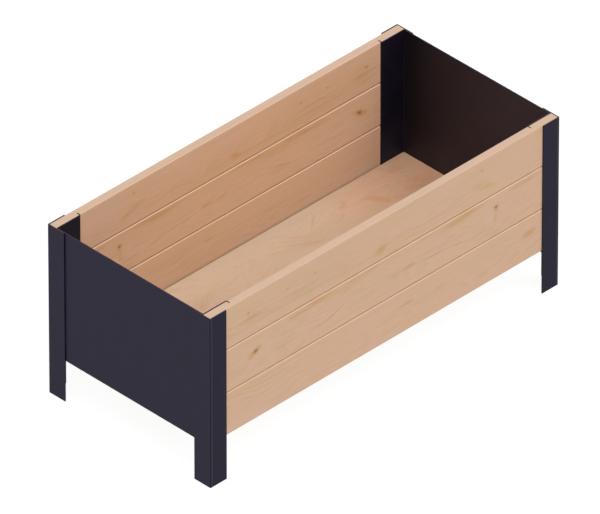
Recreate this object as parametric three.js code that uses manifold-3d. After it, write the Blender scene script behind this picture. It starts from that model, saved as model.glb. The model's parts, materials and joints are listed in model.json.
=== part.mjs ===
// Wooden planter box on four steel angle legs.
// Tongue-and-groove boards slide into channels at the corners, and a plywood floor lies inside.
// Millimetres, +Z up. X runs along the box, Y across it, and the origin is on the ground under its middle.

import * as THREE from 'three';
import { mergeVertices } from 'three/addons/utils/BufferGeometryUtils.js';
import Module from 'manifold-3d';

// Overall sizes
const boxLength = 1072; // over the outer faces of the legs
const boxWidth = 500; // over the outer faces of the legs
const boxHeight = 450; // from the ground to the rim
const groundClearance = 108; // from the ground to the underside of the steel ends
const fitGap = 0.3; // clearance between pieces that touch

// Legs: steel angles
const legWidth = 50; // each side of the angle
const legSheet = 2.5;
const legInnerRadius = 1.5; // inside corner
const legCornerEase = 0.8; // outside corner

// End panels: folded steel sheet on a thicker ledge
const panelSheet = 2.5;
const panelInnerRadius = 1.5; // inside of each fold
const sideFlangeDepth = 72.5; // along the inner face of the boards
const lipReach = 8.5; // from the side flange into the boards
const ledgeThickness = 4;
const ledgeDepth = 45; // under the floor and the boards
const earSetback = 1; // from the boards' outer face to the end of the ledge

// Side boards
const boardsPerSide = 3;
const boardThickness = 21;
const rimTrim = 4.4; // taken off the top board so that it ends level with the rim
const tongueHeight = 7;
const tongueThickness = 6;
const tongueEase = 0.8;
const grooveSpare = 0.7; // free depth in the groove past the tongue
const jointBevel = 2.7;
const rimEase = 1;

// Floor
const floorThickness = 10;
const floorEaseSpare = 1; // corners are cut back this far past the end panels' folds

// Floor bearers: folded steel channels, open downwards
const bearerCount = 3;
const bearerWidth = 40;
const bearerSheet = 2;
const bearerDepth = 15;
const bearerInnerRadius = 1.5;
const bearerTabSetback = 8.7; // from the boards' outer face to the bearer's end
const bearerTabLength = 33; // flat end under the board, past the folded sides
const bearerScrewSpacing = 22;

// Countersunk wood screws, driven up into the lowest boards
const screwLength = 28;
const screwHeadRadius = 3.8;
const screwHeadHeight = 2.4;
const screwHeadRim = 0.4;
const screwShankRadius = 1.9;
const screwPointLength = 5;
const screwInset = 7; // from the boards' inner face to the screw
const recessWidth = 1.1; // cross recess in the head
const recessSpan = 4.4;
const recessDepth = 1.3;

// How finely round shapes are divided
const foldSteps = 6;
const screwSegments = 16;
const mergeTolerance = 1e-4;
const cutMargin = 1; // how far a cutting shape runs past what it cuts

// Planes that the pieces share, from the outside in
const legInnerX = boxLength / 2 - legSheet;
const legInnerY = boxWidth / 2 - legSheet;
const panelOuterX = legInnerX - fitGap;
const panelInnerX = panelOuterX - panelSheet;
const boardEndX = legInnerX - fitGap;
const boardOuterY = legInnerY - fitGap;
const boardMiddleY = boardOuterY - boardThickness / 2;
const boardInnerY = boardOuterY - boardThickness;
const flangeOuterY = boardInnerY - fitGap;
const flangeInnerY = flangeOuterY - panelSheet;
const lipInnerX = panelOuterX - sideFlangeDepth;
const lipOuterX = lipInnerX + panelSheet;
const ledgeInnerX = panelOuterX - ledgeDepth;
const ledgeTop = groundClearance + ledgeThickness;
const boardBottom = ledgeTop + fitGap;
const boardPitch = (boxHeight - boardBottom + rimTrim) / boardsPerSide;
const floorBottom = ledgeTop + fitGap;
const floorEndX = panelInnerX - fitGap;
const floorEdgeY = flangeInnerY - fitGap;
const floorEase = panelInnerRadius + floorEaseSpare;
const screwY = boardInnerY + screwInset;
const earScrewX = (ledgeInnerX + panelInnerX - panelInnerRadius) / 2;
const bearerTop = boardBottom - fitGap;
const bearerUnderside = bearerTop - bearerSheet;
const bearerEndY = boardOuterY - bearerTabSetback;
const bearerPitch = (2 * ledgeInnerX) / (bearerCount + 1);

const wasm = await Module();
wasm.setup();

const spruce = { color: 0xd9b48c, roughness: 0.62, metalness: 0 };
const plywood = { color: 0xe0bf98, roughness: 0.6, metalness: 0 };
const blackSteel = { color: 0x2d2b35, roughness: 0.55, metalness: 0.1 };
const zincSteel = { color: 0xb9bcc0, roughness: 0.35, metalness: 0.9 };

// A closed geometry as a solid that can be joined and cut
function toSolid(geometry) {
  const bare = geometry.clone();
  bare.deleteAttribute('normal');
  bare.deleteAttribute('uv');
  const merged = mergeVertices(bare, mergeTolerance);
  const mesh = new wasm.Mesh({
    numProp: 3,
    vertProperties: Float32Array.from(merged.attributes.position.array),
    triVerts: Uint32Array.from(merged.index.array),
  });
  return new wasm.Manifold(mesh);
}

function toGeometry(solid) {
  const mesh = solid.getMesh();
  const indexed = new THREE.BufferGeometry();
  indexed.setAttribute('position', new THREE.BufferAttribute(mesh.vertProperties, 3));
  indexed.setIndex(new THREE.BufferAttribute(mesh.triVerts, 1));
  const geometry = indexed.toNonIndexed();
  geometry.computeVertexNormals();
  return geometry;
}

function outline(points) {
  return new THREE.Shape(points.map(([x, y]) => new THREE.Vector2(x, y)));
}

function extrude(points, length) {
  return new THREE.ExtrudeGeometry(outline(points), { depth: length, bevelEnabled: false });
}

// A plan outline in X and Y, raised from one height to another
function raised(points, bottom, top) {
  return toSolid(extrude(points, top - bottom).translate(0, 0, bottom));
}

// A section in Y and Z, run along X to both sides of the middle
function runAlongX(points, length) {
  const geometry = extrude(points, length);
  geometry.translate(0, 0, -length / 2);
  geometry.rotateX(Math.PI / 2);
  geometry.rotateZ(Math.PI / 2);
  return toSolid(geometry);
}

// A section in X and Z, run along Y to both sides of the middle
function runAlongY(points, length) {
  const geometry = extrude(points, length);
  geometry.translate(0, 0, -length / 2);
  geometry.rotateX(Math.PI / 2);
  return toSolid(geometry);
}

function rectangle(left, right, low, high) {
  return [[left, low], [right, low], [right, high], [left, high]];
}

// Outline of a sheet with square folds: the corners are those of its right-hand face
function foldedSheet(corners, sheet, innerRadius) {
  const line = corners.map(([x, y]) => new THREE.Vector2(x, y));
  const right = [];
  const left = [];
  line.forEach((corner, i) => {
    const before = line[i - 1] ?? corner.clone().multiplyScalar(2).sub(line[i + 1]);
    const after = line[i + 1] ?? corner.clone().multiplyScalar(2).sub(line[i - 1]);
    const along = corner.clone().sub(before).normalize();
    const onward = after.clone().sub(corner).normalize();
    const turn = Math.sign(along.cross(onward));
    if (turn === 0) {
      const across = new THREE.Vector2(-along.y, along.x);
      right.push([corner.x, corner.y]);
      left.push([corner.x + across.x * sheet, corner.y + across.y * sheet]);
      return;
    }
    const rightRadius = turn > 0 ? innerRadius + sheet : innerRadius;
    const leftRadius = turn > 0 ? innerRadius : innerRadius + sheet;
    const centre = corner.clone().add(onward.clone().sub(along).multiplyScalar(rightRadius));
    const start = Math.atan2(-turn * along.x, turn * along.y);
    for (let step = 0; step <= foldSteps; step += 1) {
      const angle = start + turn * (Math.PI / 2) * (step / foldSteps);
      const spoke = [Math.cos(angle), Math.sin(angle)];
      right.push([centre.x + spoke[0] * rightRadius, centre.y + spoke[1] * rightRadius]);
      left.push([centre.x + spoke[0] * leftRadius, centre.y + spoke[1] * leftRadius]);
    }
  });
  return [...right, ...left.reverse()];
}

// One leg with its outer corner at the origin and its sides towards -X and -Y
function makeLeg() {
  const centre = -legSheet - legInnerRadius;
  const insideCorner = Array.from({ length: foldSteps + 1 }, (_, step) => {
    const angle = (Math.PI / 2) * (step / foldSteps);
    return [centre + legInnerRadius * Math.cos(angle), centre + legInnerRadius * Math.sin(angle)];
  });
  const plan = [
    [-legWidth, 0],
    [-legCornerEase, 0],
    [0, -legCornerEase],
    [0, -legWidth],
    [-legSheet, -legWidth],
    ...insideCorner,
    [-legWidth, -legSheet],
  ];
  return raised(plan, 0, boxHeight);
}

// Screw with its head's face at the origin and its point up; grown by the gap it also cuts its hole
function screwProfile(grow, headRun) {
  const head = screwHeadRadius + grow;
  const shank = screwShankRadius + grow;
  const length = screwLength + grow;
  return [
    [0, -headRun],
    [head, -headRun],
    [head, screwHeadRim],
    [shank, screwHeadHeight],
    [shank, length - screwPointLength],
    [0, length],
  ];
}

function turnedAboutZ(profile) {
  const points = profile.map(([radius, height]) => new THREE.Vector2(radius, height));
  const geometry = new THREE.LatheGeometry(points, screwSegments);
  geometry.rotateX(Math.PI / 2);
  return toSolid(geometry);
}

function makeScrew() {
  const long = rectangle(-recessSpan / 2, recessSpan / 2, -recessWidth / 2, recessWidth / 2);
  const short = rectangle(-recessWidth / 2, recessWidth / 2, -recessSpan / 2, recessSpan / 2);
  const cross = raised(long, -cutMargin, recessDepth).add(raised(short, -cutMargin, recessDepth));
  return turnedAboutZ(screwProfile(0, 0)).subtract(cross);
}

function screwHole(x, y, headHeight) {
  return turnedAboutZ(screwProfile(fitGap, cutMargin)).translate([x, y, headHeight]);
}

// End panel at the +X end: web, side flanges with hooked lips, and a ledge with two ears
function makeEndPanel() {
  const plan = foldedSheet(
    [
      [lipOuterX, -flangeOuterY - lipReach],
      [lipOuterX, -flangeOuterY],
      [panelOuterX, -flangeOuterY],
      [panelOuterX, flangeOuterY],
      [lipOuterX, flangeOuterY],
      [lipOuterX, flangeOuterY + lipReach],
    ],
    panelSheet,
    panelInnerRadius,
  );
  const foldDepth = panelInnerRadius + panelSheet;
  const webHalf = flangeOuterY - foldDepth;
  const webMiddleX = panelOuterX - panelSheet / 2;
  const earReach = boardOuterY - earSetback;
  const weldedToWeb = rectangle(ledgeInnerX, webMiddleX, -webHalf, webHalf);
  const reachingUnderBoards = rectangle(ledgeInnerX, panelOuterX - foldDepth, -earReach, earReach);
  let panel = raised(plan, groundClearance, boxHeight);
  for (const ledge of [weldedToWeb, reachingUnderBoards]) {
    panel = panel.add(raised(ledge, groundClearance, ledgeTop));
  }
  for (const side of [-1, 1]) {
    panel = panel.subtract(screwHole(earScrewX, side * screwY, groundClearance));
  }
  return panel;
}

// Section of a board in Y and Z, from its lower shoulder up
function boardSection(height, grooved, tongued) {
  const half = boardThickness / 2;
  const tongue = tongueThickness / 2;
  const groove = tongue + fitGap;
  const grooveTop = tongueHeight - fitGap + grooveSpare;
  const topEase = tongued ? jointBevel : rimEase;
  const bottomEdge = grooved ? [[-groove, 0], [-groove, grooveTop], [groove, grooveTop], [groove, 0]] : [];
  const topEdge = tongued
    ? [
        [tongue, height],
        [tongue, height + tongueHeight - tongueEase],
        [tongue - tongueEase, height + tongueHeight],
        [tongueEase - tongue, height + tongueHeight],
        [-tongue, height + tongueHeight - tongueEase],
        [-tongue, height],
      ]
    : [];
  return [
    [-half, jointBevel],
    [jointBevel - half, 0],
    ...bottomEdge,
    [half - jointBevel, 0],
    [half, jointBevel],
    [half, height - topEase],
    [half - topEase, height],
    ...topEdge,
    [topEase - half, height],
    [-half, height - topEase],
  ];
}

// Plan of a board with its inner face towards -Y: a kerf for each lip, and ends that clear the legs' corners
function boardPlan() {
  const half = boardThickness / 2;
  const kerfInner = lipInnerX - fitGap;
  const kerfOuter = lipOuterX + fitGap;
  const rightEnd = [
    [kerfInner, -half],
    [kerfInner, lipReach - half],
    [kerfOuter, lipReach - half],
    [kerfOuter, panelInnerRadius - half],
    [kerfOuter + panelInnerRadius, -half],
    [boardEndX, -half],
    [boardEndX, half - legInnerRadius],
    [boardEndX - legInnerRadius, half],
  ];
  const leftEnd = rightEnd.map(([x, y]) => [-x, y]).reverse();
  return [...rightEnd, ...leftEnd];
}

function boardHeightAt(course) {
  const top = course + 1 < boardsPerSide ? boardBottom + (course + 1) * boardPitch - fitGap : boxHeight;
  return top - boardBottom - course * boardPitch;
}

function bearerXs() {
  return Array.from({ length: bearerCount }, (_, i) => (i - (bearerCount - 1) / 2) * bearerPitch);
}

// Places of the screws along one lowest board, each with the height of its head's flat face
function screwPlaces() {
  const offsets = [-bearerScrewSpacing / 2, bearerScrewSpacing / 2];
  const atBearers = bearerXs().flatMap((x) => offsets.map((offset) => [x + offset, bearerUnderside]));
  return [[-earScrewX, groundClearance], ...atBearers, [earScrewX, groundClearance]];
}

// Board of one course at the +Y side, with its lower shoulder at height 0
function makeBoard(course) {
  const height = boardHeightAt(course);
  const tongued = course + 1 < boardsPerSide;
  const section = boardSection(height, course > 0, tongued);
  const whole = runAlongX(section, 2 * boardEndX + cutMargin);
  let board = whole.intersect(raised(boardPlan(), -cutMargin, height + tongueHeight + cutMargin));
  if (course === 0) {
    for (const [x, headHeight] of screwPlaces()) {
      board = board.subtract(screwHole(x, screwY - boardMiddleY, headHeight - boardBottom));
    }
  }
  return board;
}

// Plywood floor with its underside at height 0
function makeFloor() {
  const plan = [
    [-floorEndX + floorEase, -floorEdgeY],
    [floorEndX - floorEase, -floorEdgeY],
    [floorEndX, -floorEdgeY + floorEase],
    [floorEndX, floorEdgeY - floorEase],
    [floorEndX - floorEase, floorEdgeY],
    [-floorEndX + floorEase, floorEdgeY],
    [-floorEndX, floorEdgeY - floorEase],
    [-floorEndX, -floorEdgeY + floorEase],
  ];
  return raised(plan, 0, floorThickness);
}

// Channel across the box, its top face under the floor and its flat ends under the boards
function makeBearer() {
  const half = bearerWidth / 2;
  const lowEdge = bearerTop - bearerDepth;
  const channel = foldedSheet(
    [[half, lowEdge], [half, bearerTop], [-half, bearerTop], [-half, lowEdge]],
    bearerSheet,
    bearerInnerRadius,
  );
  const tabHalf = half - bearerSheet - bearerInnerRadius;
  const tab = rectangle(-tabHalf, tabHalf, -bearerEndY, bearerEndY);
  let bearer = runAlongY(channel, 2 * (bearerEndY - bearerTabLength));
  bearer = bearer.add(raised(tab, bearerUnderside, bearerTop));
  for (const side of [-1, 1]) {
    for (const offset of [-bearerScrewSpacing / 2, bearerScrewSpacing / 2]) {
      bearer = bearer.subtract(screwHole(offset, side * screwY, bearerUnderside));
    }
  }
  return bearer;
}

const planter = new THREE.Group();

function place(name, solid, finish, position = [0, 0, 0], turn = 0) {
  const mesh = new THREE.Mesh(toGeometry(solid), new THREE.MeshStandardMaterial(finish));
  mesh.name = name;
  mesh.position.set(...position);
  mesh.rotation.z = turn;
  planter.add(mesh);
}

function addLegs() {
  const corners = [
    ['leg_right_back', 1, 1],
    ['leg_left_back', -1, 1],
    ['leg_left_front', -1, -1],
    ['leg_right_front', 1, -1],
  ];
  corners.forEach(([name, alongX, alongY], quarter) => {
    const position = [(alongX * boxLength) / 2, (alongY * boxWidth) / 2, 0];
    place(name, makeLeg(), blackSteel, position, (quarter * Math.PI) / 2);
  });
}

function addEndPanels() {
  place('end_panel_right', makeEndPanel(), blackSteel);
  place('end_panel_left', makeEndPanel(), blackSteel, [0, 0, 0], Math.PI);
}

function addBoards() {
  for (let course = 0; course < boardsPerSide; course += 1) {
    const bottom = boardBottom + course * boardPitch;
    place(`back_board_${course + 1}`, makeBoard(course), spruce, [0, boardMiddleY, bottom]);
    place(`front_board_${course + 1}`, makeBoard(course), spruce, [0, -boardMiddleY, bottom], Math.PI);
  }
}

function addFloor() {
  place('floor_panel', makeFloor(), plywood, [0, 0, floorBottom]);
  bearerXs().forEach((x, i) => place(`floor_bearer_${i + 1}`, makeBearer(), blackSteel, [x, 0, 0]));
}

function addScrews() {
  for (const [side, y] of [['front', -screwY], ['back', screwY]]) {
    screwPlaces().forEach(([x, headHeight], i) => {
      place(`${side}_screw_${i + 1}`, makeScrew(), zincSteel, [x, y, headHeight]);
    });
  }
}

addLegs();
addEndPanels();
addBoards();
addFloor();
addScrews();

export default planter;
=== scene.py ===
# Wooden planter box: softened pieces, wood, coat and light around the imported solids
import json
import math

import bpy
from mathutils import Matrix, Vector

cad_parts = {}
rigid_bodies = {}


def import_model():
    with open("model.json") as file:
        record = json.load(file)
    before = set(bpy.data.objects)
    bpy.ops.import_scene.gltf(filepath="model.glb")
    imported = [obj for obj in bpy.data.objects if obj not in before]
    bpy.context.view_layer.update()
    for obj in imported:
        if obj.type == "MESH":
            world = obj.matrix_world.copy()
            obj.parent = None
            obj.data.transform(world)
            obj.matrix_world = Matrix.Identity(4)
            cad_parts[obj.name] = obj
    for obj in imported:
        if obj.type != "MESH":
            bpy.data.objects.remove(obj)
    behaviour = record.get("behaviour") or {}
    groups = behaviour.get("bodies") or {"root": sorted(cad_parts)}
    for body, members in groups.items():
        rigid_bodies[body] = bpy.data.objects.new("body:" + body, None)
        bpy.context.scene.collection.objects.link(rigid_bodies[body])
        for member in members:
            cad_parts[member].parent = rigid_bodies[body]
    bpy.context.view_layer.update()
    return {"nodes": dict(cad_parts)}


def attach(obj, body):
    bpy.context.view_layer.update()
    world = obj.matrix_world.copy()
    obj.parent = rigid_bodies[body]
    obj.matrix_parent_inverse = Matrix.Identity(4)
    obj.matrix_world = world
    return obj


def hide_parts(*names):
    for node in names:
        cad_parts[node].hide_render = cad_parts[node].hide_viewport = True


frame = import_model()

metresPerMm = 0.001
endless = 1e6                    # mm, the size of a mark along the direction that it isn't bounded in
white = (1, 1, 1, 1)


def directionTo(azimuth, elevation):
    # unit vector from the planter to a place round it, in degrees
    turn, tilt = math.radians(azimuth), math.radians(elevation)
    return Vector((math.sin(turn) * math.cos(tilt), -math.cos(turn) * math.cos(tilt), math.sin(tilt)))


# camera: far away with a long lens, so lines that run together in the room stay nearly parallel
camera = {
    "azimuth": -44.868,          # degrees, 0 looks along +Y
    "elevation": 35.621,
    "distance": 43.595,          # metres
    "aim": (0, 0, 0.225),
    "slide": (-0.00992, -0.00568),  # metres across and up the picture
    "lens": 1200.2,
    "sensor": 36,
    "clip": (5, 120),
}


def makeCamera():
    turn, tilt = math.radians(camera["azimuth"]), math.radians(camera["elevation"])
    away = directionTo(camera["azimuth"], camera["elevation"])
    across = Vector((math.cos(turn), math.sin(turn), 0))
    up = away.cross(across)
    place = Vector(camera["aim"]) + away * camera["distance"]
    place += across * camera["slide"][0] + up * camera["slide"][1]
    bpy.ops.object.camera_add(location=place, rotation=(math.pi / 2 - tilt, 0, turn))
    made = bpy.context.object
    made.name = "planterCamera"
    made.data.sensor_fit = "HORIZONTAL"
    made.data.sensor_width = camera["sensor"]
    made.data.lens = camera["lens"]
    made.data.clip_start, made.data.clip_end = camera["clip"]
    bpy.context.scene.camera = made


# node helpers
def startMaterial(name):
    material = bpy.data.materials.new(name)
    material.use_nodes = True
    material.node_tree.nodes.clear()
    return material, material.node_tree


def addNode(tree, kind, inputs, **settings):
    made = tree.nodes.new(kind)
    for key, value in settings.items():
        setattr(made, key, value)
    for socket, value in inputs.items():
        if isinstance(value, bpy.types.NodeSocket):
            tree.links.new(value, made.inputs[socket])
        else:
            made.inputs[socket].default_value = value
    return made


def maths(tree, operation, first, second=0.0):
    return addNode(tree, "ShaderNodeMath", {0: first, 1: second}, operation=operation).outputs[0]


def product(tree, total, *others):
    for other in others:
        total = maths(tree, "MULTIPLY", total, other)
    return total


def plus(tree, total, value, share):
    return maths(tree, "ADD", total, maths(tree, "MULTIPLY", value, share))


def centred(tree, value, reach):
    # a pattern from 0 to 1, moved to lie about zero and drawn out
    return maths(tree, "MULTIPLY", maths(tree, "SUBTRACT", value, 0.5), reach)


def strongest(tree, masks):
    total = masks[0]
    for mask in masks[1:]:
        total = maths(tree, "MAXIMUM", total, mask)
    return total


def vectorMaths(tree, operation, first, second=(0, 0, 0)):
    return addNode(tree, "ShaderNodeVectorMath", {0: first, 1: second}, operation=operation)


def separated(tree, vector):
    return addNode(tree, "ShaderNodeSeparateXYZ", {0: vector}).outputs


def mixed(tree, share, first, second, blend="MIX"):
    colours = [(*c, 1) if isinstance(c, tuple) and len(c) == 3 else c for c in (first, second)]
    made = addNode(
        tree, "ShaderNodeMix", {0: share, 6: colours[0], 7: colours[1]}, data_type="RGBA", blend_type=blend
    )
    return made.outputs[2]


def ranged(tree, value, low, high, toLow=0.0, toHigh=1.0, kind="SMOOTHSTEP"):
    made = addNode(
        tree, "ShaderNodeMapRange", {0: value, 1: low, 2: high, 3: toLow, 4: toHigh}, interpolation_type=kind
    )
    return made.outputs[0]


def fading(tree, value, low, high, strength=1.0):
    # the strength up to low, nothing past high
    return ranged(tree, value, low, high, strength, 0.0)


def ramped(tree, value, stops):
    # a colour that changes slowly along a length, from stops of (place, colour)
    low, high = stops[0][0], stops[-1][0]
    made = addNode(tree, "ShaderNodeValToRGB", {0: ranged(tree, value, low, high, kind="LINEAR")})
    ramp = made.color_ramp.elements
    ramp[0].color, ramp[1].color = (*stops[0][1], 1), (*stops[-1][1], 1)
    for place, colour in stops[1:-1]:
        ramp.new((place - low) / (high - low)).color = (*colour, 1)
    return made.outputs[0]


def stretched(tree, point, sizes, seed):
    # the pattern's own scale, from its sizes in mm along x, y and z
    values = {"Vector": point, "Location": seed, "Scale": tuple(1 / size for size in sizes)}
    return addNode(tree, "ShaderNodeMapping", values).outputs[0]


def patterned(tree, point, pattern, seed=(0, 0, 0)):
    # noise from a pattern's sizes in mm, its detail, its roughness and at times a distortion
    sizes, detail, roughness, *distortion = pattern
    values = {"Vector": stretched(tree, point, sizes, seed), "Scale": 1.0, "Detail": detail}
    values["Roughness"] = roughness
    values["Distortion"] = distortion[0] if distortion else 0.0
    return addNode(tree, "ShaderNodeTexNoise", values).outputs[0]


def distanceFrom(tree, point, middle, tilt, sizes, uneven):
    # distance from the middle of a mark, 1 on its rim, with an uneven rim where that is given
    values = {"Vector": point, "Location": middle, "Rotation": tilt, "Scale": sizes}
    local = addNode(tree, "ShaderNodeMapping", values, vector_type="TEXTURE").outputs[0]
    away = vectorMaths(tree, "LENGTH", local).outputs["Value"]
    return maths(tree, "ADD", away, uneven) if uneven else away


def fromBoardMark(tree, point, mark, uneven=None):
    x, z, halfLength, halfHeight, tilt = mark[:5]
    sizes = (halfLength, endless, halfHeight)
    return distanceFrom(tree, point, (x, 0, z), (0, math.radians(tilt), 0), sizes, uneven)


def fromFloorMark(tree, point, mark, uneven):
    x, y, halfLength, halfWidth, tilt = mark[:5]
    sizes = (halfLength, halfWidth, endless)
    return distanceFrom(tree, point, (x, y, 0), (0, 0, math.radians(tilt)), sizes, uneven)


def millimetres(tree, turned=False):
    objectPoint = addNode(tree, "ShaderNodeTexCoord", {}).outputs["Object"]
    upright = 1 / metresPerMm
    side = -upright if turned else upright
    values = {"Vector": objectPoint, "Scale": (side, side, upright)}
    return addNode(tree, "ShaderNodeMapping", values).outputs[0]


def surfaceNormal(tree):
    return addNode(tree, "ShaderNodeNewGeometry", {}).outputs["Normal"]


def finishMaterial(tree, colour, roughness, height, look, **sockets):
    depth, strength = look["bump"]
    values = {"Height": height, "Distance": depth * metresPerMm, "Strength": strength}
    bump = addNode(tree, "ShaderNodeBump", values)
    values = {"Base Color": colour, "Roughness": roughness, "Normal": bump.outputs[0]}
    shader = addNode(tree, "ShaderNodeBsdfPrincipled", values)
    for socket, value in sockets.items():
        shader.inputs[socket.replace("_", " ")].default_value = value
    addNode(tree, "ShaderNodeOutputMaterial", {"Surface": shader.outputs[0]})


# spruce boards
spruce = {
    "early": (0.688, 0.453, 0.302),
    "late": (0.550, 0.343, 0.213),
    "rosy": (0.704, 0.450, 0.319),
    "golden": (0.660, 0.439, 0.263),
    "paleMark": (0.695, 0.465, 0.338),
    "warmMark": (0.625, 0.400, 0.212),
    "rustMark": (0.605, 0.340, 0.168),
    "knotHalo": (0.590, 0.300, 0.135),
    "knotCore": (0.270, 0.115, 0.036),
    # patterns: sizes in mm along, across and up the board, then detail and roughness
    "slow": ((340, 70, 70), 2.0, 0.55),
    "quick": ((90, 14, 14), 3.0, 0.6),
    "patches": ((210, 22, 22), 2.0, 0.5),
    "breaks": ((46, 5, 5), 2.0, 0.5),
    "rosyPatches": ((160, 42, 42), 2.0, 0.5),
    "goldenPatches": ((260, 30, 30), 3.0, 0.5),
    "rimNoise": ((34, 7, 7), 3.0, 0.6),
    "fibres": ((26, 0.9, 0.9), 3.0, 0.65),
    "seedSpread": (1, 0.7, 1.3),  # a board's seed along, across and up
    "goldenSeed": (9.2, 4.4),
    # growth rings
    "ringSpacing": 4.6,          # mm
    "slowDrift": 44.0,           # mm, how far each pattern moves the rings
    "quickDrift": 5.0,
    "ringRise": (0.25, 0.92),    # the late wood darkens over this share of a ring
    "ringFall": (0.93, 1.0),     # and ends over this one
    "ringShare": 0.17,           # how strongly the rings show where they are faint
    "ringShareMore": 0.27,       # and what the strong places add
    "patchFade": (0.42, 0.68),
    "breakFade": (0.30, 0.62, 0.35, 1.0),
    # knots: distances of 1 are the knot's rim
    "knotPush": 9.0,             # mm, how far a full knot pushes the rings
    "knotPushReach": 5.0,
    "knotSoftness": (0.15, 1.55),  # the core fades out between these distances
    "haloReach": (0.6, 3.1),     # and the warm wood round it between these
    "haloShare": 0.85,
    # tones and marks
    "rosyFade": (0.46, 0.64),
    "rosyShare": 0.6,
    "goldenFade": (0.5, 0.7),
    "goldenShare": 0.6,
    "wander": 6.0,               # mm, how far the marks stray from a straight course
    "ragged": 1.1,               # how uneven their outlines are
    "markFade": (0.2, 1.3),
    "markBreaks": (0.35, 1.0, 0.65, 1.0),
    # V joints, with painted shade and painted highlight, in mm of depth behind the face; slopes are parts of
    # the upright normal
    "grooveDepth": 2.7,
    "grooveShadeTints": [(0.70, 0.68, 0.65), (0.60, 0.57, 0.52)],  # painted shade deep in the joints, outside and inside the box
    "grooveHighlightTints": [(1.22, 1.25, 1.28), (1.25, 1.33, 1.42)],  # painted highlight where their lower bevel, which faces up, meets the face
    "bevelSlopes": ((0.2, 0.5), (0.85, 0.97)),
    "upwardSlope": (0.1, 0.4),
    "grooveDarkens": (1.3, 2.2),
    "grooveEdgeEnds": (0.9, 1.7),
    "pastGroove": (0.3, 0.6),
    # rim and inner face
    "rim": 450,                  # mm
    "rimSheen": (1.075, 0.905, 0.80),  # painted sheen: paler at the rim
    "rimSheenShare": 0.175,
    "rimSheenBand": (1.2, 0.4),       # mm below the rim
    "jointsEnd": (6, 5),         # mm below the rim
    "innerBand": (1.5, 0.5),     # mm before the inner face
    # painted light: the inner faces are lightened and warmed
    "innerLightTint": (1.30, 1.25, 1.187),
    # painted shade: the inner faces change slowly with the height in mm, darker low down, from the floor up
    # to the rim
    "innerShadeByHeight": [(122, (0.80, 0.86, 0.91)), (210, (0.90, 0.94, 0.96)), (270, (0.915, 0.93, 0.945)),
                   (365, (0.887, 0.873, 0.853)), (440, (0.964, 0.973, 1.0))],
    "outerFace": -247.2,         # mm, across the box
    "thickness": 21,
    # surface
    "fibreFade": (0.35, 0.62, 0.0, 0.10),
    "fibreHeight": 0.5,
    "ringHeight": 0.35,
    "roughnessFrom": (0.3, 0.7),
    "roughness": (0.58, 0.72),
    "bump": (0.25, 0.35),        # mm, and strength
    "specular": 0.3,
}

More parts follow.
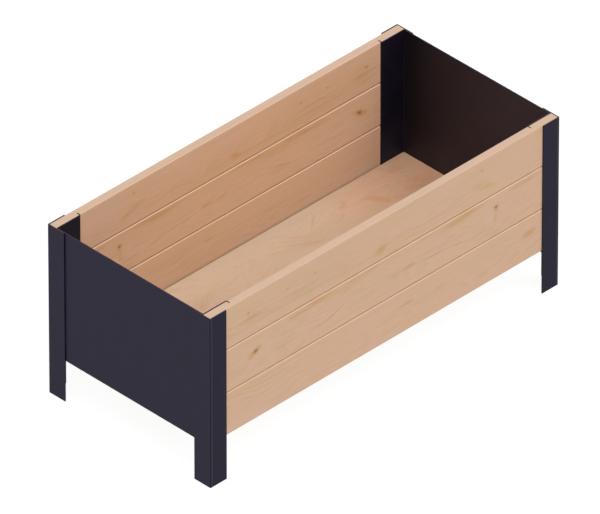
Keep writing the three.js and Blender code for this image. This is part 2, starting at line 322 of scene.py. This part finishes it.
# Each course from the lowest: heart = (depth behind the outer face, height, lean, taper), all in mm.
# A mark is x, z, half length, half height, tilt in degrees, strength.
boardCourses = [
    {
        "seed": 3.1, "heart": (64, 148, 0.012, 0.030),
        "streaks": [(-165, 173, 25, 1.8, 0, 0.4), (-118, 174, 25, 2.0, 0, 0.6), (-30, 179, 45, 1.6, 0, 0.35),
                    (23, 184, 25, 1.8, 0, 0.5), (70, 185, 25, 2.6, 0, 0.6), (164, 176, 30, 2.0, 3, 0.5),
                    (215, 181, 12, 1.6, 0, 0.35), (399, 179, 25, 2.0, 0, 0.5)],
        "pale": [(-425, 122, 125, 36, 0, 1.0), (95, 185, 8, 6, 0, 0.8)],
        "warm": [(62, 187, 22, 6, 0, 0.7), (172, 178, 26, 5, 6, 0.4), (446, 183, 24, 11, 0, 1.0)],
        "rust": [(72, 187, 12, 5, 0, 0.6), (448, 182, 21, 9, 0, 1.0), (-478, 186, 7, 5, 0, 0.4)],
        "knots": [],
    },
    {
        "seed": 11.7, "heart": (58, 268, -0.010, 0.034),
        "streaks": [(-240, 324, 50, 3.0, 0, 0.8), (-165, 332, 30, 1.6, 0, 0.4),
                    (-60, 331.5, 60, 2.2, -0.3, 0.9), (135, 331, 35, 2.0, 1, 0.6),
                    (235, 328, 60, 3.0, 0, 0.7), (235, 320, 40, 1.6, 0, 0.5), (422, 326.5, 50, 2.6, 0, 0.8),
                    (-140, 311, 60, 1.6, 0, 0.4), (-280, 294, 50, 1.5, 0, 0.3),
                    (-300, 267, 65, 1.8, -2.4, 0.7), (-190, 263.5, 45, 1.6, 0, 0.5),
                    (-158, 272, 44, 2.2, -16, 1.0),
                    (45, 281, 40, 3.0, 2, 0.5), (140, 288, 50, 1.5, 3, 0.45), (160, 272, 60, 2.0, 4.2, 0.9),
                    (235, 264, 40, 1.8, 9, 0.7), (305, 258, 50, 1.8, 1, 0.7), (-160, 245, 110, 1.6, 0, 0.4),
                    (-20, 247, 30, 1.8, 0, 0.4), (335, 241, 50, 1.8, 0, 0.5)],
        "pale": [(318, 290, 17, 16, 0, 0.8), (-360, 284, 16, 14, 0, 0.7)],
        "warm": [(-272, 327, 30, 10, 0, 0.95), (-165, 324, 46, 12, 0, 0.75), (-88, 326, 64, 12, 0, 0.8),
                 (-30, 332, 36, 7, 0, 0.6), (220, 326, 66, 13, 0, 1.0), (430, 329, 54, 9, 0, 0.75),
                 (28, 279, 20, 7, 10, 0.9), (78, 281, 20, 6, 0, 0.9), (216, 268, 24, 8, 18, 0.35),
                 (396, 285, 22, 12, 0, 0.35), (0, 324, 420, 20, 0, 0.16)],
        "rust": [(78, 281, 18, 6, 0, 0.7), (-406, 288, 19, 10, -20, 0.95), (-384, 299, 12, 8, 0, 0.55),
                 (341, 276, 7, 17, 0, 0.5), (343, 295, 7, 7, 0, 0.6), (260, 332, 54, 6, 0, 0.85),
                 (-205, 330, 48, 8, 0, 0.85), (225, 327, 44, 8, 0, 0.55), (-122, 318, 24, 8, 0, 0.35)],
        "knots": [(-395, 293.5, 6.8, 4.3, -24, 0.90), (343, 304, 4.2, 3.6, 0, 0.84)],
    },
    {
        "seed": 23.9, "heart": (70, 382, 0.006, 0.022),
        "streaks": [(-410, 390, 80, 2.8, 0.3, 0.8), (-262, 389.5, 90, 2.6, -0.3, 0.7),
                    (-330, 381, 120, 1.6, 0, 0.4), (-420, 371.5, 75, 2.6, 0, 0.6),
                    (-275, 371, 95, 2.4, -0.3, 0.6), (-400, 408, 30, 1.8, 0, 0.5),
                    (-212, 408, 25, 1.8, 0, 0.4), (-100, 364, 90, 2.0, 0, 0.45),
                    (245, 384.5, 60, 1.8, -0.5, 0.45), (305, 376, 30, 1.6, 6, 0.35)],
        "pale": [(170, 434, 70, 12, 0, 0.6), (400, 405, 90, 40, 0, 0.6)],
        "warm": [(-405, 384, 64, 14, 0, 0.6), (-300, 378, 120, 13, 0, 0.45), (292, 386, 30, 10, 14, 0.85),
                 (318, 377, 24, 8, 18, 0.95), (-40, 361, 220, 18, 0, 0.34),
                 (-240, 396, 300, 60, 0, 0.2)],
        "rust": [(-12, 369, 22, 11, -12, 0.95), (-402, 388, 26, 12, 0, 0.55), (-130, 382, 28, 15, 30, 0.25)],
        "knots": [(-417, 405, 3.6, 2.3, 0, 0.5), (-297, 410, 2.8, 2.0, 0, 0.3),
                  (-214, 409, 5.0, 2.4, 0, 0.22), (298, 424, 3.0, 2.6, 0, 0.32)],
    },
]


def spruceMaterial(name, course, turned):
    look, board = spruce, boardCourses[course]
    material, tree = startMaterial(name)
    point = millimetres(tree, turned)
    seed = tuple(board["seed"] * spread for spread in look["seedSpread"])

    # growth rings round a heart line that leans and tapers along the board
    depth, height, lean, taper = board["heart"]
    along, sideways, upwards = separated(tree, point)
    across = maths(tree, "SUBTRACT", sideways, look["outerFace"] + depth)
    leaning = maths(tree, "MULTIPLY", along, lean)
    upright = maths(tree, "SUBTRACT", maths(tree, "SUBTRACT", upwards, height), leaning)
    section = addNode(tree, "ShaderNodeCombineXYZ", {1: across, 2: upright}).outputs[0]
    ring = vectorMaths(tree, "LENGTH", section).outputs["Value"]
    ring = plus(tree, ring, along, taper)
    ring = plus(tree, ring, patterned(tree, point, look["slow"], seed), look["slowDrift"])
    quick = patterned(tree, point, look["quick"], seed)
    ring = plus(tree, ring, quick, look["quickDrift"])

    # knots push the rings aside
    halo, core = [], []
    for knot in board["knots"]:
        away, strength = fromBoardMark(tree, point, knot), knot[5]
        pushed = fading(tree, away, 0.0, look["knotPushReach"], look["knotPush"] * strength)
        ring = maths(tree, "ADD", ring, pushed)
        halo.append(fading(tree, away, *look["haloReach"], look["haloShare"] * strength))
        core.append(fading(tree, away, *look["knotSoftness"], strength))

    turns = maths(tree, "FRACT", maths(tree, "DIVIDE", ring, look["ringSpacing"]))
    late = product(tree, ranged(tree, turns, *look["ringRise"]), fading(tree, turns, *look["ringFall"]))

    # where the rings show more
    patchy = ranged(tree, patterned(tree, point, look["patches"], seed), *look["patchFade"])
    broken = ranged(tree, patterned(tree, point, look["breaks"], seed), *look["breakFade"])
    share = plus(tree, look["ringShare"], patchy, look["ringShareMore"])
    share = product(tree, share, late, broken)

    # slow changes of tone, then the rings
    rosy = ranged(tree, patterned(tree, point, look["rosyPatches"], seed), *look["rosyFade"])
    goldenSeed = (*look["goldenSeed"], board["seed"])
    golden = ranged(tree, patterned(tree, point, look["goldenPatches"], goldenSeed), *look["goldenFade"])
    colour = mixed(tree, product(tree, rosy, look["rosyShare"]), look["early"], look["rosy"])
    colour = mixed(tree, product(tree, golden, look["goldenShare"]), colour, look["golden"])
    colour = mixed(tree, share, colour, look["late"])

    # marks and streaks stray a little, the knots stay put
    stray = addNode(tree, "ShaderNodeCombineXYZ", {2: centred(tree, quick, look["wander"])}).outputs[0]
    strayed = vectorMaths(tree, "ADD", point, stray).outputs[0]
    uneven = ranged(tree, broken, *look["markBreaks"])
    rough = centred(tree, patterned(tree, point, look["rimNoise"], seed), look["ragged"])
    for key, tone in (("pale", "paleMark"), ("warm", "warmMark"), ("rust", "rustMark"), ("streaks", "late")):
        masks = []
        for mark in board[key]:
            masks.append(fading(tree, fromBoardMark(tree, strayed, mark, rough), *look["markFade"], mark[5]))
        mask = product(tree, strongest(tree, masks), uneven)
        colour = mixed(tree, mask, colour, look[tone])
    if halo:
        colour = mixed(tree, product(tree, strongest(tree, halo), uneven), colour, look["knotHalo"])
        colour = mixed(tree, strongest(tree, core), colour, look["knotCore"])

    # painted shade darkens the V joints inwards, and a painted highlight makes their up-facing lower bevel
    # palest at the face; the eased rim has neither
    facing = separated(tree, surfaceNormal(tree))[2]
    steep = maths(tree, "ABSOLUTE", facing)
    slopesFrom, slopesTo = look["bevelSlopes"]
    highest, lowest = look["jointsEnd"]
    belowRim = fading(tree, upwards, look["rim"] - highest, look["rim"] - lowest)
    bevelled = product(tree, ranged(tree, steep, *slopesFrom), fading(tree, steep, *slopesTo), belowRim)
    upward = product(tree, bevelled, ranged(tree, facing, *look["upwardSlope"]))
    fromOutside = maths(tree, "SUBTRACT", sideways, look["outerFace"])
    fromInside = maths(tree, "SUBTRACT", look["thickness"], fromOutside)
    grooveEnds = [look["grooveDepth"] + past for past in look["pastGroove"]]
    for behind, shadeTint, edge in zip((fromOutside, fromInside), look["grooveShadeTints"], look["grooveHighlightTints"]):
        inGroove = fading(tree, behind, *grooveEnds)
        dark = product(tree, bevelled, ranged(tree, behind, *look["grooveDarkens"]), inGroove)
        colour = mixed(tree, dark, colour, shadeTint, "MULTIPLY")
        pale = product(tree, upward, fading(tree, behind, *look["grooveEdgeEnds"]))
        colour = mixed(tree, pale, colour, edge, "MULTIPLY")

    # painted light makes the inner face brighter and warmer, painted shade darkens it low down, and a painted
    # sheen makes the rim paler
    innerFace = look["outerFace"] + look["thickness"]
    inner = ranged(tree, sideways, *[innerFace - before for before in look["innerBand"]])
    paintedInnerColour = mixed(tree, 1.0, colour, look["innerLightTint"], "MULTIPLY")
    innerShadeByHeight = ramped(tree, upwards, look["innerShadeByHeight"])
    paintedInnerColour = mixed(tree, 1.0, paintedInnerColour, innerShadeByHeight, "MULTIPLY")
    colour = mixed(tree, inner, colour, paintedInnerColour)
    # painted sheen along the rim
    rim = ranged(tree, upwards, *[look["rim"] - below for below in look["rimSheenBand"]], 0.0, look["rimSheenShare"])
    colour = mixed(tree, rim, colour, look["rimSheen"])

    # fine fibres and pores
    fibre = patterned(tree, point, look["fibres"], seed)
    colour = mixed(tree, ranged(tree, fibre, *look["fibreFade"]), colour, look["late"])
    raised = product(tree, fibre, look["fibreHeight"])
    height = maths(tree, "SUBTRACT", raised, product(tree, late, look["ringHeight"]))
    roughness = ranged(tree, fibre, *look["roughnessFrom"], *look["roughness"])
    finishMaterial(tree, colour, roughness, height, look, Specular_IOR_Level=look["specular"])
    return material


# plywood floor
plywood = {
    "pale": (0.712, 0.531, 0.386),
    "line": (0.578, 0.357, 0.211),
    "golden": (0.570, 0.375, 0.215),
    "rust": (0.640, 0.360, 0.190),
    "innerPly": (0.390, 0.225, 0.120),
    # patterns: sizes in mm along, across and up the box, then detail, roughness and distortion
    "slow": ((270, 100, 900), 1.0, 0.45, 0.4),
    "quick": ((60, 20, 900), 2.0, 0.5),
    "rimNoise": ((16, 16, 900), 3.0, 0.6),
    "breaks": ((30, 12, 900), 3.0, 0.5),
    "patches": ((190, 90, 900), 2.0, 0.5),
    "tones": ((240, 70, 900), 3.0, 0.5),
    "fibres": ((18, 0.9, 20), 3.0, 0.65),
    "seeds": {
        "slow": (2.3, 7.1, 0.4), "quick": (5.3, 1.1, 0.4), "rimNoise": (4.4, 0.9, 0.4),
        "breaks": (8.8, 3.3, 0.4), "patches": (1.7, 2.9, 0.4), "tones": (4.1, 6.2, 0.4),
        "fibres": (3.3, 2.1, 0.4),
    },
    # grain lines
    "slowLines": 15.0,           # how many lines each pattern makes from its lowest to its highest place
    "quickLines": 1.1,
    "lineRise": (0.35, 0.86),
    "lineFall": (0.88, 1.0),
    "lineShare": (0.10, 0.24),   # how strongly the grain shows where it is faint, and what strong places add
    "patchFade": (0.38, 0.66, 0.0, 0.5),
    "breakFade": (0.3, 0.62, 0.5, 1.0),
    "toneFade": (0.42, 0.68),
    "toneShare": 0.2,
    # painted shade and light towards the right end: the sheet is darkened and reddened, then lightened near
    # the end panel; from x to x in mm, and the tint it reaches
    "rightEndLightAndShade": [(150, 420, (1.06, 0.905, 0.82)), (410, 530, (1.14, 1.07, 1.03))],
    "backEdgeShade": (0.91, 0.955, 0.975),  # painted shade: tint of the band along the back boards, taking off their bounce light
    # a mark is x, y, half length, half width, tilt in degrees, strength
    # painted shade: a wide soft band along the back boards
    "backEdgeShadeMarks": [(180, 226, 450, 52, 0, 1.0)],
    "goldenMarks": [(292, 176, 30, 11, 45, 0.6), (-165, 135, 60, 18, 20, 0.25), (465, 188, 36, 14, 0, 0.35)],
    # the last rust mark, in the right front corner, is partly veneer tone and partly painted shade
    "rustMarks": [(364, 134, 38, 14, -52, 0.65), (398, 112, 24, 12, -30, 0.35), (-195, 118, 20, 14, 0, 0.45),
                  (470, 112, 55, 34, 10, 0.35)],
    "linedMarks": [(330, 170, 90, 30, -30, 0.7), (450, 140, 70, 40, -30, 0.8), (130, 140, 110, 40, -28, 0.6)],
    "streaks": [(126, 133, 60, 4.6, -29, 0.42), (134, 159, 42, 4.4, -36, 0.36),
                (100, 168, 48, 4.4, -33, 0.30), (150, 116, 42, 4.2, -20, 0.34),
                (206, 181, 26, 4.6, 36, 0.50), (60, 150, 52, 4.2, -24, 0.26),
                (-20, 170, 64, 4.4, -12, 0.22), (-90, 140, 64, 4.4, 10, 0.22),
                (250, 140, 44, 4.4, 24, 0.28), (186, 163, 18, 4.2, 38, 0.34), (330, 190, 24, 4.6, 34, 0.40)],
    "softMark": (0.1, 1.2),      # distances over which marks fade, 1 is their rim
    "streakFade": (0.2, 1.2),
    "wideFade": (0.3, 1.2),
    "bend": 9,                   # mm, how far marks and streaks stray
    "bendSizes": (110, 80, 900),
    "bendSeed": (1.9, 6.6, 0.4),
    "bendFineness": 5.0,
    "ragged": 0.9,
    # cut edges
    "top": 122.3,                # mm
    "thickness": 10.0,
    "plies": 5,
    "plyFade": (0.47, 0.53),
    "edgeSlope": (0.45, 0.75),   # parts of the upright normal
    "endGrainShare": 0.7,
    # surface
    "fibreFade": (0.35, 0.65, 0.0, 0.10),
    "fibreHeight": 0.5,
    "lineHeight": 0.25,
    "roughnessFrom": (0.3, 0.7),
    "roughness": (0.55, 0.70),
    "bump": (0.2, 0.3),          # mm, and strength
    "specular": 0.3,
}


def plywoodMaterial(name):
    look = plywood
    material, tree = startMaterial(name)
    point = millimetres(tree)

    def veneer(key):
        return patterned(tree, point, look[key], look["seeds"][key])

    # rotary-cut veneer: level lines of a slow height field, drawn out along the sheet
    field = plus(tree, product(tree, veneer("slow"), look["slowLines"]), veneer("quick"), look["quickLines"])
    turns = maths(tree, "FRACT", field)
    line = product(tree, ranged(tree, turns, *look["lineRise"]), fading(tree, turns, *look["lineFall"]))

    place = stretched(tree, point, look["bendSizes"], look["bendSeed"])
    strays = addNode(tree, "ShaderNodeTexNoise", {"Vector": place, "Scale": look["bendFineness"]})
    bend = vectorMaths(tree, "SUBTRACT", strays.outputs["Color"], (0.5, 0.5, 0.5)).outputs[0]
    bend = vectorMaths(tree, "MULTIPLY", bend, (look["bend"],) * 3).outputs[0]
    strayed = vectorMaths(tree, "ADD", point, bend).outputs[0]
    rough = centred(tree, veneer("rimNoise"), look["ragged"])

    def spread(key, fade):
        masks = []
        for mark in look[key]:
            masks.append(fading(tree, fromFloorMark(tree, strayed, mark, rough), *look[fade], mark[5]))
        return strongest(tree, masks)

    broken = ranged(tree, veneer("breaks"), *look["breakFade"])
    patchy = ranged(tree, veneer("patches"), *look["patchFade"])
    shown = maths(tree, "MAXIMUM", patchy, spread("linedMarks", "wideFade"))
    faint, more = look["lineShare"]
    share = product(tree, plus(tree, faint, shown, more), line)
    tone = ranged(tree, veneer("tones"), *look["toneFade"])
    colour = mixed(tree, product(tree, tone, look["toneShare"]), look["pale"], look["golden"])
    marks = [("goldenMarks", "softMark", "golden"), ("rustMarks", "softMark", "rust")]
    marks.append(("streaks", "streakFade", "line"))
    for key, fade, shade in marks:
        colour = mixed(tree, product(tree, spread(key, fade), broken), colour, look[shade])
    colour = mixed(tree, product(tree, share, broken), colour, look["line"])
    # painted shade along the back boards
    colour = mixed(tree, spread("backEdgeShadeMarks", "wideFade"), colour, look["backEdgeShade"], "MULTIPLY")

    # painted shade and light to the right; on the cut edges every second ply shows its end grain
    along, _, upwards = separated(tree, point)
    for start, end, tint in look["rightEndLightAndShade"]:
        colour = mixed(tree, ranged(tree, along, start, end), colour, tint, "MULTIPLY")
    depth = maths(tree, "SUBTRACT", look["top"], upwards)
    pair = maths(tree, "FRACT", maths(tree, "DIVIDE", depth, 2 * look["thickness"] / look["plies"]))
    innerPly = ranged(tree, pair, *look["plyFade"])
    steep = maths(tree, "ABSOLUTE", separated(tree, surfaceNormal(tree))[2])
    edge = fading(tree, steep, *look["edgeSlope"])
    endGrain = product(tree, innerPly, edge, look["endGrainShare"])
    colour = mixed(tree, endGrain, colour, look["innerPly"])

    fibre = veneer("fibres")
    colour = mixed(tree, ranged(tree, fibre, *look["fibreFade"]), colour, look["line"])
    raised = product(tree, fibre, look["fibreHeight"])
    height = maths(tree, "SUBTRACT", raised, product(tree, line, look["lineHeight"]))
    roughness = ranged(tree, fibre, *look["roughnessFrom"], *look["roughness"])
    finishMaterial(tree, colour, roughness, height, look, Specular_IOR_Level=look["specular"])
    return material


# powder coat and zinc
powderCoat = {
    "dark": (0.0085, 0.0072, 0.0150),
    "pale": (0.0120, 0.0105, 0.0195),
    "worn": (0.0300, 0.0290, 0.0380),
    # patterns: sizes in mm, detail and roughness
    "clouds": ((60, 60, 60), 3.0, 0.5),
    "cloudSeed": (0.7, 3.9, 5.5),
    "cloudFade": (0.35, 0.65),
    "rub": ((7, 7, 7), 4.0, 0.65),
    "rubSeed": (6.1, 2.2, 8.4),
    "rubFade": (0.45, 0.70),
    "rubLeast": 0.15,            # share of the wear that shows everywhere
    "edgeWear": 0.25,
    "peel": ((1.5, 1.5, 1.5), 1.0, 0.5),
    "grit": ((0.35, 0.35, 0.35), 2.0, 0.5),
    # outer faces, with painted light and shade: parts of the normal, and mm from the middle of the box
    "outerSlope": (0.6, 0.9),
    "outerBand": 0.3,
    "endFaceLight": (1.55, 1.47, 1.80),  # painted light on the outer faces of the ends, from this far out
    "endsFrom": 532.6,
    "sideFaceShade": (0.50, 0.42, 0.84),  # painted shade on the outer faces of the long sides
    "sidesFrom": 248.5,
    "topHighlight": (5.8, 4.5, 3.0),  # painted highlight on cut ends and edges that face up
    "topHighlightSlope": (0.35, 0.8),
    # inside the box: painted reflection, painted shade and painted bounce light
    "lowBounceLight": (1.5, 1.5, 1.4),  # painted bounce light low inside the box, next to the pale floor
    "lowTo": (122, 230),         # from z to z in mm
    "lowBand": 1,                # mm over which it starts
    "within": (531.8, 224.0),    # mm from the middle, how far the inside reaches in x and in y
    "inside": (0.0345, 0.0255, 0.0330),  # painted reflection of the wood on the faces that look at it
    "insideX": (530.0, 531.5),   # mm from the middle
    "insideReflectionShade": (-120, 200, 1.45, 0.45),  # painted shade on that reflection: from y to y in mm, and how bright it is at each
    "insideBand": 0.2,           # mm
    # surface
    "gritHeight": 0.3,
    "gritMatt": 0.2,
    "roughnessFrom": (0.4, 0.8),
    "roughness": (0.38, 0.48),
    "bump": (0.05, 0.25),        # mm, and strength
    "specular": 0.14,
    "tint": (0.74, 0.68, 1.0, 1),
}


def coatMaterial(name, wear=0.0, inside=False):
    look = powderCoat
    material, tree = startMaterial(name)
    point = millimetres(tree)
    cloud = patterned(tree, point, look["clouds"], look["cloudSeed"])
    colour = mixed(tree, ranged(tree, cloud, *look["cloudFade"]), look["dark"], look["pale"])
    facing = separated(tree, surfaceNormal(tree))
    parts = separated(tree, point)
    # painted light on the ends' outer faces and painted shade on the long sides' outer faces
    for i, tint, start in ((0, "endFaceLight", "endsFrom"), (1, "sideFaceShade", "sidesFrom")):
        share = ranged(tree, maths(tree, "ABSOLUTE", facing[i]), *look["outerSlope"])
        away = maths(tree, "ABSOLUTE", parts[i])
        outer = ranged(tree, away, look[start], look[start] + look["outerBand"])
        colour = mixed(tree, product(tree, share, outer), colour, look[tint], "MULTIPLY")
    # painted highlight on faces that face up
    colour = mixed(tree, ranged(tree, facing[2], *look["topHighlightSlope"]), colour, look["topHighlight"], "MULTIPLY")
    # painted reflection of the wood on the inner faces, dimmer towards the back as painted shade, and painted
    # bounce light low down
    if inside:
        fade = look["insideBand"]
        away = maths(tree, "ABSOLUTE", parts[0])
        near, far = look["insideX"]
        band = product(tree, ranged(tree, away, near - fade, near), fading(tree, away, far, far + fade))
        shadedReflection = ranged(tree, parts[1], *look["insideReflectionShade"], kind="LINEAR")
        inner = vectorMaths(tree, "SCALE", look["inside"])
        tree.links.new(shadedReflection, inner.inputs["Scale"])
        colour = mixed(tree, band, colour, inner.outputs[0])
        # painted bounce light from the floor, low inside the box
        floorLevel, fadesAt = look["lowTo"]
        low = fading(tree, parts[2], floorLevel, fadesAt)
        low = product(tree, low, ranged(tree, parts[2], floorLevel - look["lowBand"], floorLevel))
        for i, limit in enumerate(look["within"]):
            low = product(tree, low, fading(tree, maths(tree, "ABSOLUTE", parts[i]), limit - fade, limit))
        colour = mixed(tree, low, colour, look["lowBounceLight"], "MULTIPLY")
    if wear:
        rub = patterned(tree, point, look["rub"], look["rubSeed"])
        rubbed = ranged(tree, rub, *look["rubFade"], look["rubLeast"] * wear, wear)
        colour = mixed(tree, rubbed, colour, look["worn"])
    grit = patterned(tree, point, look["grit"])
    height = plus(tree, patterned(tree, point, look["peel"]), grit, look["gritHeight"])
    matt = plus(tree, cloud, grit, look["gritMatt"])
    roughness = ranged(tree, matt, *look["roughnessFrom"], *look["roughness"])
    sheen = {"Specular_IOR_Level": look["specular"], "Specular_Tint": look["tint"]}
    finishMaterial(tree, colour, roughness, height, look, **sheen)
    return material


zinc = {
    "bright": (0.66, 0.67, 0.69),
    "dull": (0.43, 0.44, 0.45),
    # patterns: sizes in mm, detail and roughness
    "spangle": ((1.6, 1.6, 1.6), 3.0, 0.6),
    "turned": ((3, 3, 0.16), 1.0, 0.5),  # fine rings left by turning
    "turnedSeed": (1.2, 5.0, 2.4),
    "spangleFade": (0.35, 0.65),
    "roughness": (0.26, 0.44),
    "heights": (0.4, 0.4),       # of the spangle and the rings
    "bump": (0.04, 0.3),         # mm, and strength
}


def zincMaterial(name):
    look = zinc
    material, tree = startMaterial(name)
    point = millimetres(tree)
    spangle = patterned(tree, point, look["spangle"])
    turned = patterned(tree, point, look["turned"], look["turnedSeed"])
    colour = mixed(tree, ranged(tree, spangle, *look["spangleFade"]), look["dull"], look["bright"])
    roughness = ranged(tree, spangle, *look["spangleFade"], *look["roughness"])
    spangleHeight, turnedHeight = look["heights"]
    height = plus(tree, product(tree, spangle, spangleHeight), turned, turnedHeight)
    finishMaterial(tree, colour, roughness, height, look, Metallic=1.0)
    return material


# pieces
edges = {
    # mm of rounding, steps, and the angle in degrees from which an edge is rounded
    "steel": (0.35, 2, 30),
    "board": (0.6, 3, 30),
    "floor": (0.4, 2, 30),
    "screw": (0.12, 2, 40),
    "mergeWithin": 0.00001,      # metres
    "flatWithin": 0.5,           # degrees
    "smoothWithin": 35,          # degrees
    "faceWeight": 100,           # wide faces stay flat up to their rounded edges
}


def deselectAll():
    for item in bpy.context.scene.objects:
        item.select_set(False)


def mergedCopy(nodeName, name):
    # the solid's own shape as one closed mesh of flat faces
    source = frame["nodes"][nodeName]
    copy = bpy.data.objects.new(name, source.data.copy())
    bpy.context.scene.collection.objects.link(copy)
    deselectAll()
    copy.select_set(True)
    bpy.context.view_layer.objects.active = copy
    bpy.ops.object.mode_set(mode="EDIT")
    bpy.ops.mesh.select_all(action="SELECT")
    bpy.ops.mesh.customdata_custom_splitnormals_clear()
    bpy.ops.mesh.remove_doubles(threshold=edges["mergeWithin"])
    bpy.ops.mesh.dissolve_limited(angle_limit=math.radians(edges["flatWithin"]))
    bpy.ops.object.mode_set(mode="OBJECT")
    return copy


def softenEdges(piece, kind, edgeSlot=-1):
    width, steps, angle = edges[kind]
    deselectAll()
    piece.select_set(True)
    bpy.context.view_layer.objects.active = piece
    bpy.ops.object.modifier_add(type="BEVEL")
    bevel = piece.modifiers[-1]
    bevel.width = width * metresPerMm
    bevel.segments = steps
    bevel.limit_method = "ANGLE"
    bevel.angle_limit = math.radians(angle)
    bevel.use_clamp_overlap = True
    bevel.harden_normals = False
    bevel.material = edgeSlot
    bpy.ops.object.modifier_apply(modifier=bevel.name)
    bpy.ops.object.shade_smooth_by_angle(angle=math.radians(edges["smoothWithin"]))
    bpy.ops.object.modifier_add(type="WEIGHTED_NORMAL")
    flatten = piece.modifiers[-1]
    flatten.keep_sharp = True
    flatten.weight = edges["faceWeight"]
    bpy.ops.object.modifier_apply(modifier=flatten.name)


def giveMaterials(piece, materials):
    piece.data.materials.clear()
    for material in materials:
        piece.data.materials.append(material)


def dress(piece, slotName, materials, *nodeNames):
    giveMaterials(piece, materials)
    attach(piece, "root")
    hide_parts(*nodeNames)


counts = {
    "bearers": 3,
    "screwsPerSide": 8,
}


def makeSteel():
    # the inner coat carries painted reflection, shade and bounce light
    coat = coatMaterial("blackCoat", inside=True)
    coats = [coat, coatMaterial("blackCoatEdge", wear=powderCoat["edgeWear"])]
    names = [f"leg_{x}_{y}" for x in ("left", "right") for y in ("front", "back")]
    names += ["end_panel_left", "end_panel_right"]
    names += [f"floor_bearer_{i + 1}" for i in range(counts["bearers"])]
    for name in names:
        piece = mergedCopy(name, f"coated_{name}")
        giveMaterials(piece, coats)
        softenEdges(piece, "steel", edgeSlot=1)
        dress(piece, "black_powder_coat", coats, name)


def makeBoards():
    for side in ("front", "back"):
        for course in range(len(boardCourses)):
            wood = spruceMaterial(f"spruce_{side}_{course + 1}", course, side == "back")
            node = f"{side}_board_{course + 1}"
            piece = mergedCopy(node, f"grained_{node}")
            softenEdges(piece, "board")
            dress(piece, "spruce_board", [wood], node)


def makeFloor():
    piece = mergedCopy("floor_panel", "veneered_floor_panel")
    softenEdges(piece, "floor")
    dress(piece, "floor_plywood", [plywoodMaterial("floorVeneer")], "floor_panel")


def makeScrews():
    steel = zincMaterial("zincPlate")
    for side in ("front", "back"):
        for i in range(counts["screwsPerSide"]):
            node = f"{side}_screw_{i + 1}"
            piece = mergedCopy(node, f"plated_{node}")
            softenEdges(piece, "screw")
            dress(piece, "zinc_plated_steel", [steel], node)


# ground, world and lamps
studio = {
    "groundSize": 60,            # metres
    "groundColour": (0.80, 0.80, 0.80),
    "groundGlow": 0.93,          # what the camera and mirrors see of the ground before its own light
    "groundShade": (0.16, 0.16, 0.16),
    "skyStrength": 0.17,
    # azimuth and elevation of each soft lamp in degrees, and its strength
    "lamps": [(-45, 60, 1.20), (45, 60, 0.86), (0, 30, 0.72), (180, 30, 0.42)],
    "lampSpread": 40,            # degrees across
    "lampDistance": 4,           # metres, only where its symbol stands
}


def seenByEye(tree):
    # 1 for the camera and for what metal and glass show, 0 for the light itself
    rays = addNode(tree, "ShaderNodeLightPath", {}).outputs
    return strongest(tree, [rays[f"Is {kind} Ray"] for kind in ("Camera", "Glossy", "Transmission")])


def makeGround():
    deselectAll()
    bpy.ops.mesh.primitive_plane_add(size=studio["groundSize"], location=(0, 0, 0))
    ground = bpy.context.object
    ground.name = "studioGround"
    material, tree = startMaterial("paleGround")
    plain = addNode(tree, "ShaderNodeBsdfDiffuse", {"Color": (*studio["groundColour"], 1)})
    shade = addNode(tree, "ShaderNodeBsdfDiffuse", {"Color": (*studio["groundShade"], 1)})
    glow = addNode(tree, "ShaderNodeEmission", {"Color": white, "Strength": studio["groundGlow"]})
    lit = addNode(tree, "ShaderNodeAddShader", {0: shade.outputs[0], 1: glow.outputs[0]})
    top = addNode(tree, "ShaderNodeMixShader", {0: seenByEye(tree), 1: plain.outputs[0], 2: lit.outputs[0]})
    below = addNode(tree, "ShaderNodeNewGeometry", {}).outputs["Backfacing"]
    clear = addNode(tree, "ShaderNodeBsdfTransparent", {})
    both = addNode(tree, "ShaderNodeMixShader", {0: below, 1: top.outputs[0], 2: clear.outputs[0]})
    addNode(tree, "ShaderNodeOutputMaterial", {"Surface": both.outputs[0]})
    material.cycles.emission_sampling = "NONE"  # the glow is for the eye and mirrors, it lights nothing
    ground.data.materials.append(material)


def makeWorld():
    world = bpy.data.worlds.new("studioSky")
    bpy.context.scene.world = world
    world.use_nodes = True
    tree = world.node_tree
    tree.nodes.clear()
    sky = addNode(tree, "ShaderNodeBackground", {"Color": white, "Strength": studio["skyStrength"]})
    backdrop = addNode(tree, "ShaderNodeBackground", {"Color": white, "Strength": 1.0})
    values = {0: seenByEye(tree), 1: sky.outputs[0], 2: backdrop.outputs[0]}
    both = addNode(tree, "ShaderNodeMixShader", values)
    addNode(tree, "ShaderNodeOutputWorld", {"Surface": both.outputs[0]})
    world.cycles.sampling_method = "NONE"  # the sky is even, so rays find it by themselves


def makeLamps():
    for azimuth, elevation, strength in studio["lamps"]:
        away = directionTo(azimuth, elevation)
        facing = away.to_track_quat("Z", "Y").to_euler()
        bpy.ops.object.light_add(type="SUN", location=away * studio["lampDistance"], rotation=facing)
        lamp = bpy.context.object
        lamp.name = f"softLamp_{azimuth}_{elevation}"
        lamp.data.energy = strength
        lamp.data.angle = math.radians(studio["lampSpread"])
        lamp.visible_glossy = False  # the coat mirrors the pale room, not the lamps


makeCamera()
makeGround()
makeWorld()
makeLamps()
print("camera, ground and light are in place")
makeSteel()
print("steel is coated")
makeBoards()
makeFloor()
print("boards and floor are in place")
makeScrews()
print("screws are in place")

view = bpy.context.scene.view_settings
view.view_transform = "Standard"
